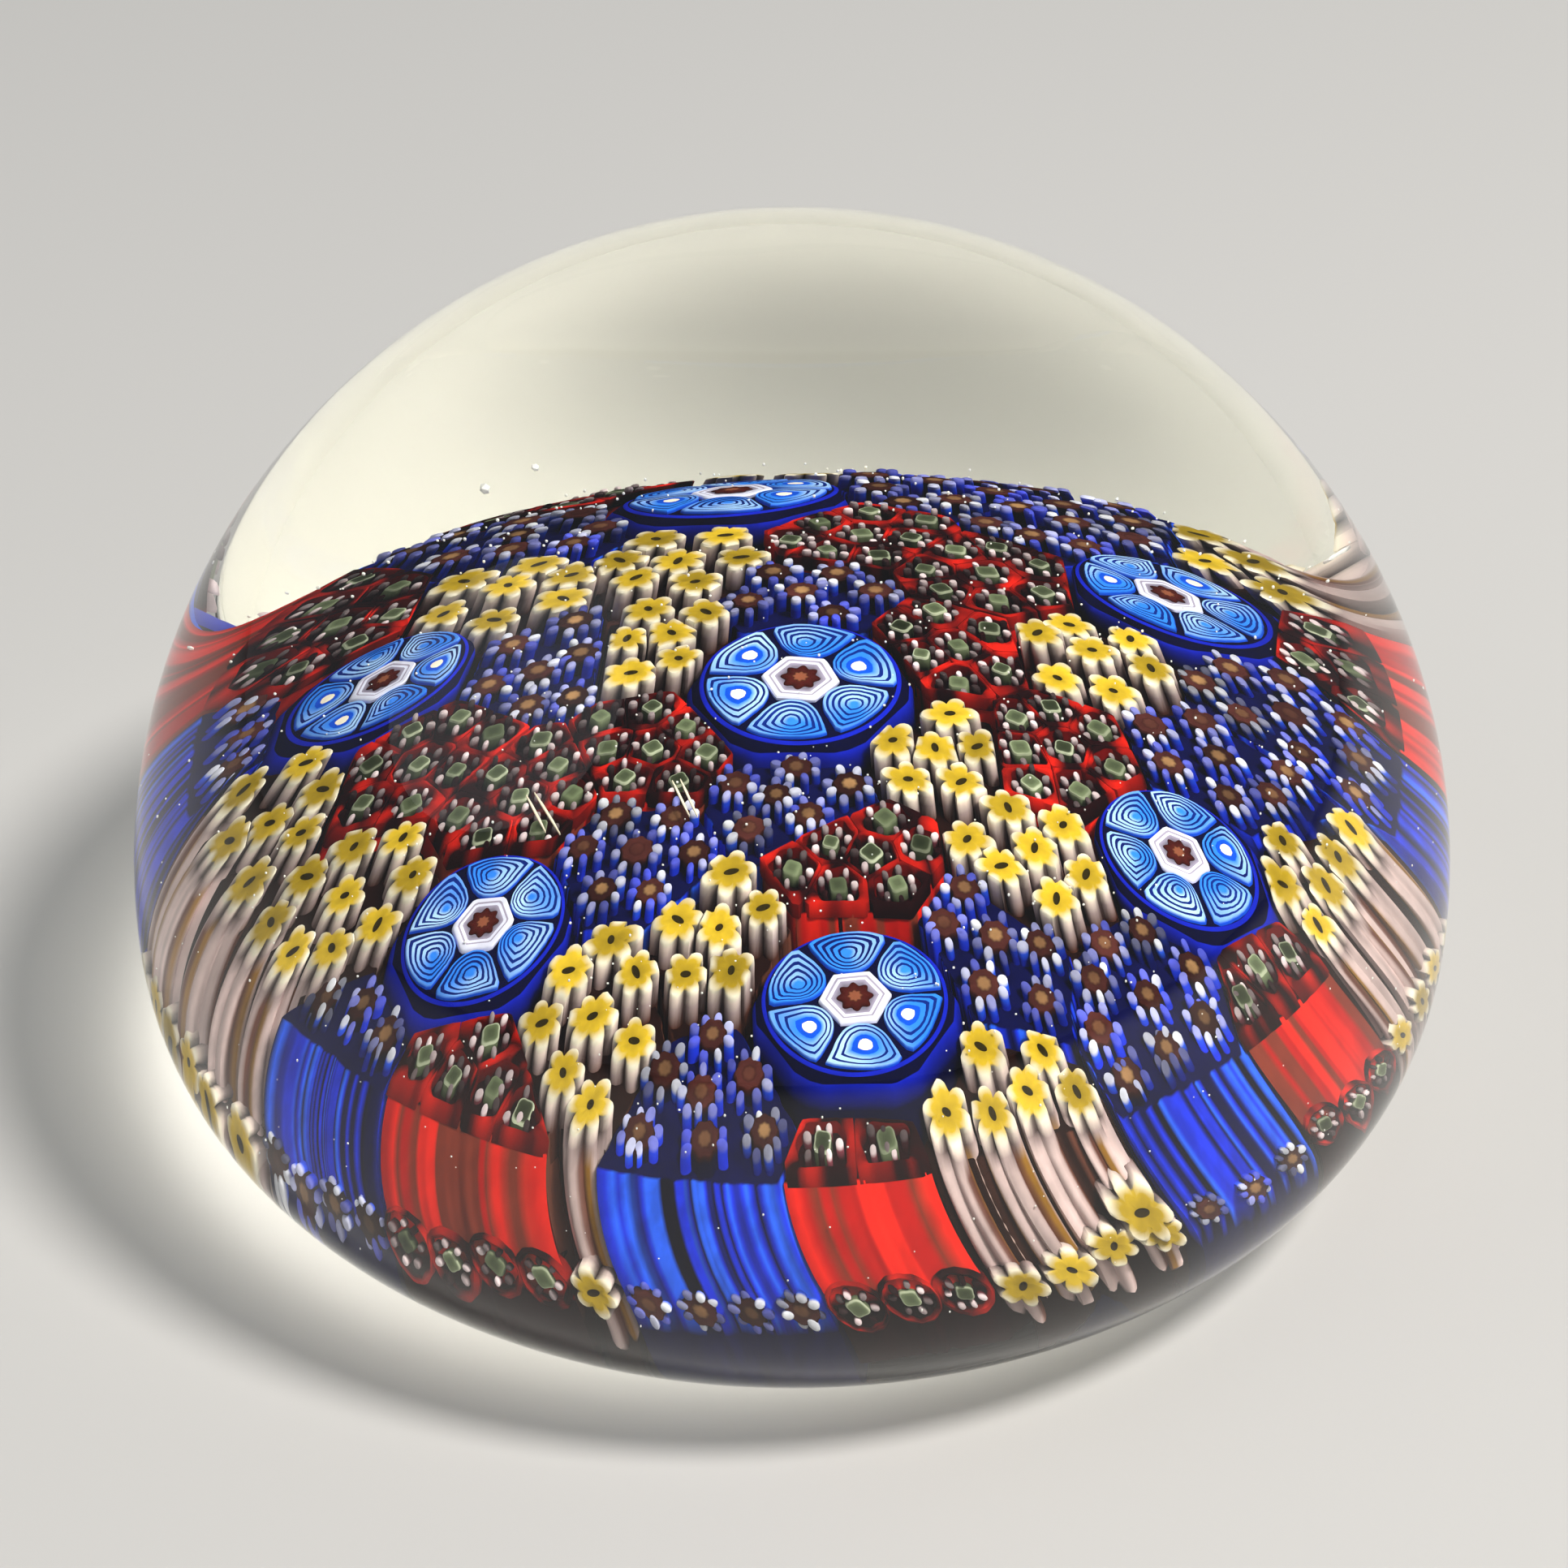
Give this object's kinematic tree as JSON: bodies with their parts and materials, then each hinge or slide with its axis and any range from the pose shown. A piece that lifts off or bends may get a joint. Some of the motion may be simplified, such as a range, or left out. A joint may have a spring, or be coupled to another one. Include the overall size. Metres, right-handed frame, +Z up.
{
  "type": "paperweight",
  "caption": "Solid glass desk paperweight: a clear dome over a cushion of patterned coloured canes, with a flat ground base that rests on papers to hold them down.",
  "frame": {"origin": "centre of the flat ground base", "axes": "+Z up along the axis of the dome; -Y towards the side seen in the usual view"},
  "size_m": [0.09, 0.09, 0.0608],
  "materials": {
    "clear_glass": "polished",
    "rosette_glass": "polished",
    "red_glass": "polished",
    "yellow_glass": "polished",
    "blue_glass": "polished"
  },
  "bodies": {
    "root": {"base_pad": "clear_glass", "bundle_0_blue_a": "blue_glass", "bundle_0_blue_b": "blue_glass", "bundle_0_red_a": "red_glass", "bundle_0_red_b": "red_glass", "bundle_0_yellow_a": "yellow_glass", "bundle_0_yellow_b": "yellow_glass", "bundle_1_blue_a": "blue_glass", "bundle_1_blue_b": "blue_glass", "bundle_1_red_a": "red_glass", "bundle_1_red_b": "red_glass", "bundle_1_yellow_a": "yellow_glass", "bundle_1_yellow_b": "yellow_glass", "bundle_2_blue_a": "blue_glass", "bundle_2_blue_b": "blue_glass", "bundle_2_red_a": "red_glass", "bundle_2_red_b": "red_glass", "bundle_2_yellow_a": "yellow_glass", "bundle_2_yellow_b": "yellow_glass", "bundle_3_blue_a": "blue_glass", "bundle_3_blue_b": "blue_glass", "bundle_3_red_a": "red_glass", "bundle_3_red_b": "red_glass", "bundle_3_yellow_a": "yellow_glass", "bundle_3_yellow_b": "yellow_glass", "bundle_4_blue_a": "blue_glass", "bundle_4_blue_b": "blue_glass", "bundle_4_red_a": "red_glass", "bundle_4_red_b": "red_glass", "bundle_4_yellow_a": "yellow_glass", "bundle_4_yellow_b": "yellow_glass", "bundle_5_blue_a": "blue_glass", "bundle_5_blue_b": "blue_glass", "bundle_5_red_a": "red_glass", "bundle_5_red_b": "red_glass", "bundle_5_yellow_a": "yellow_glass", "bundle_5_yellow_b": "yellow_glass", "bundle_6_blue_a": "blue_glass", "bundle_6_blue_b": "blue_glass", "bundle_6_red_a": "red_glass", "bundle_6_red_b": "red_glass", "bundle_6_yellow_a": "yellow_glass", "bundle_6_yellow_b": "yellow_glass", "dome_glass": "clear_glass", "rosette_0": "rosette_glass", "rosette_1": "rosette_glass", "rosette_2": "rosette_glass", "rosette_3": "rosette_glass", "rosette_4": "rosette_glass", "rosette_5": "rosette_glass", "rosette_6": "rosette_glass"}
  },
  "joints": []
}
